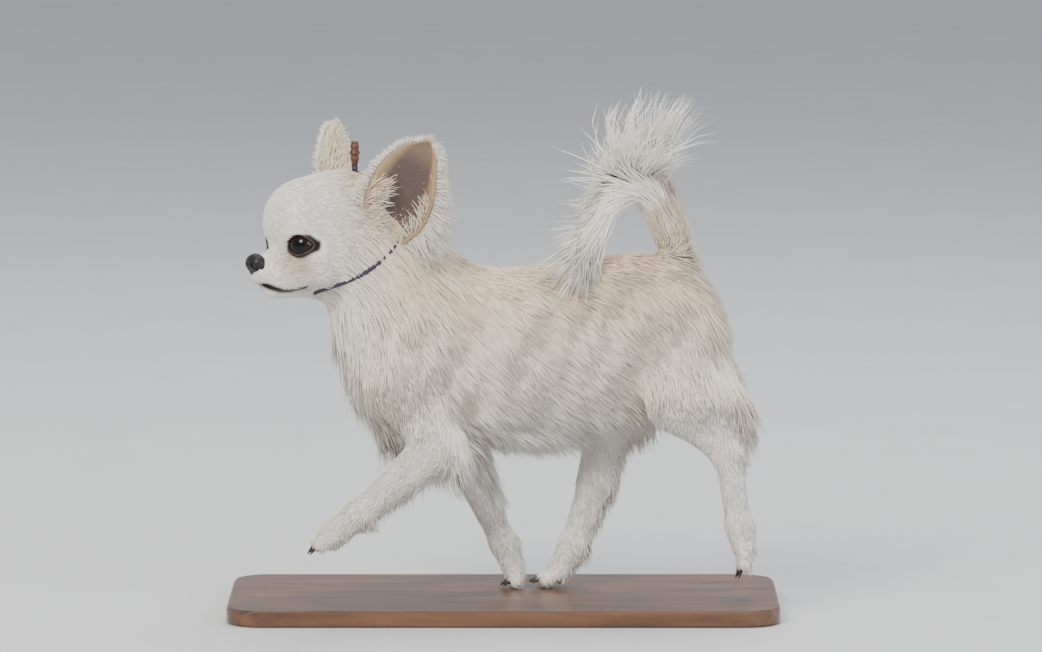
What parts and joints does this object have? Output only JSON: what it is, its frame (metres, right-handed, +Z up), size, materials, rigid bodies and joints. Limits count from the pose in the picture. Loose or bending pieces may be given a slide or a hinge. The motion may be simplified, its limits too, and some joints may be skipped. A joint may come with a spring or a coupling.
{
  "type": "chihuahua",
  "caption": "Life-size still model of a long-coated chihuahua at a trot, with a thin show collar, on a plain flat base.",
  "frame": {"origin": "centre of the base's underside", "axes": "+Z up, the dog faces -X, its left side is towards -Y"},
  "size_m": [0.33, 0.15, 0.315],
  "materials": {
    "coat": "long soft cream coat, lighter on legs, belly and tail plume, light tan on back and ears",
    "nose_leather": "black, fine pebbled, slightly moist",
    "eyeball": "dark brown, wet gloss",
    "collar_webbing": "thin dark woven show collar",
    "slide_toggle": "brown moulded toggle",
    "base_wood": "stained and satin varnished plate with a bevelled edge"
  },
  "bodies": {
    "root": {"stand_base": "base_wood", "collar": "collar_webbing", "collar_slide": "slide_toggle", "nose": "nose_leather", "eye_left": "eyeball", "ear_left": "coat", "eye_right": "eyeball", "ear_right": "coat", "head": "coat", "tail_root": "coat", "tail_arch": "coat", "tail_end": "coat", "neck": "coat", "upper_arm_left": "coat", "forearm_left": "coat", "forepaw_left": "coat", "upper_arm_right": "coat", "forearm_right": "coat", "forepaw_right": "coat", "thigh_left": "coat", "shank_left": "coat", "hindpaw_left": "coat", "thigh_right": "coat", "shank_right": "coat", "hindpaw_right": "coat", "torso": "coat"}
  },
  "joints": []
}
